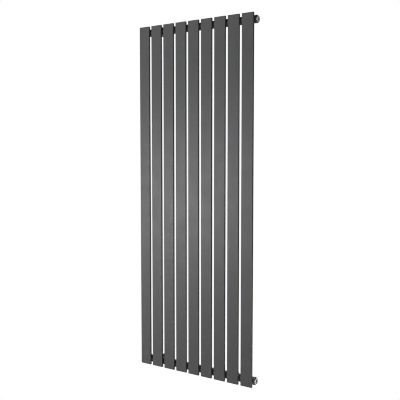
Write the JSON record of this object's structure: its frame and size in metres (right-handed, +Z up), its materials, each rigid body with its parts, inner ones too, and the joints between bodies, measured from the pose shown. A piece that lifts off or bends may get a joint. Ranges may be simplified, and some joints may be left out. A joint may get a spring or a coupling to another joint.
{
  "type": "flat tube radiator",
  "caption": "Tall wall-hung hot water radiator of upright flat steel tubes on two round header pipes, with threaded end ports, air vent and hook brackets.",
  "frame": {"origin": "on the wall plane, at the centre of the rectangle of the four outer wall screw holes, level with mid height between the header axes", "axes": "+X to the right seen from the room, -Y from the wall towards the room, +Z up"},
  "size_m": [0.6905, 0.098, 1.8],
  "materials": {
    "powder_coat": "satin anthracite powder coat with fine orange peel",
    "bare_steel": "bare mild steel, turned or sheared",
    "zinc_plate": "bright zinc plate",
    "nickel_plate": "satin nickel plate on turned brass",
    "seal_rubber": "matt black sealing rubber",
    "nylon": "black moulded nylon"
  },
  "bodies": {
    "wall_brackets": {"wall_bracket_top_left": "powder_coat", "wall_bracket_top_right": "powder_coat", "wall_bracket_bottom_left": "powder_coat", "wall_bracket_bottom_right": "powder_coat"},
    "hook_arms": {"hook_arm_top_left": "powder_coat", "hook_arm_top_right": "powder_coat", "hook_arm_bottom_left": "powder_coat", "hook_arm_bottom_right": "powder_coat", "hook_liner_top_left": "nylon", "hook_liner_top_right": "nylon", "hook_liner_bottom_left": "nylon", "hook_liner_bottom_right": "nylon", "clamp_bolts": "zinc_plate", "clamp_washers": "zinc_plate", "clamp_nuts": "zinc_plate"},
    "radiator": {"flat_tube_1": "powder_coat", "flat_tube_2": "powder_coat", "flat_tube_3": "powder_coat", "flat_tube_4": "powder_coat", "flat_tube_5": "powder_coat", "flat_tube_6": "powder_coat", "flat_tube_7": "powder_coat", "flat_tube_8": "powder_coat", "flat_tube_9": "powder_coat", "tube_end_caps_top": "powder_coat", "tube_end_caps_bottom": "powder_coat", "header_pipe_top": "powder_coat", "header_pipe_bottom": "powder_coat", "header_necks_top": "bare_steel", "header_necks_bottom": "bare_steel", "port_boss_top_left": "powder_coat", "port_boss_top_right": "powder_coat", "port_boss_bottom_left": "powder_coat", "port_boss_bottom_right": "powder_coat", "flow_diverter": "bare_steel", "hanger_lug_top_left": "powder_coat", "hanger_lug_top_right": "powder_coat", "hanger_lug_bottom_left": "powder_coat", "hanger_lug_bottom_right": "powder_coat", "hanger_pin_top_left": "zinc_plate", "hanger_pin_top_right": "zinc_plate", "hanger_pin_bottom_left": "zinc_plate", "hanger_pin_bottom_right": "zinc_plate", "vent_plug": "nickel_plate", "vent_plug_seal": "seal_rubber", "blanking_plug": "nickel_plate", "blanking_plug_seal": "seal_rubber"},
    "bleed_tip": {"bleed_tip_seal": "nylon"},
    "bleed_screw": {"bleed_screw": "nickel_plate"}
  },
  "joints": [
    {"name": "standoff_adjust", "type": "slide", "parent": "wall_brackets", "child": "hook_arms", "axis": [0, -1, 0], "range_m": [-0.004, 0.004]},
    {"name": "lift_off", "type": "slide", "parent": "hook_arms", "child": "radiator", "axis": [0, 0, 1], "range_m": [0, 0.025]},
    {"name": "bleed_travel", "type": "slide", "parent": "radiator", "child": "bleed_tip", "axis": [1, 0, 0], "range_m": [0, 0.002]},
    {"name": "bleed_turn", "type": "hinge", "parent": "bleed_tip", "child": "bleed_screw", "pos_m": [0.3425, -0.0679, 0.8725], "axis": [1, 0, 0], "range_deg": [0, 720]}
  ],
  "couplings": [
    {"joint": "bleed_turn", "follows": "bleed_travel", "rad_per_m": 6283.2}
  ]
}
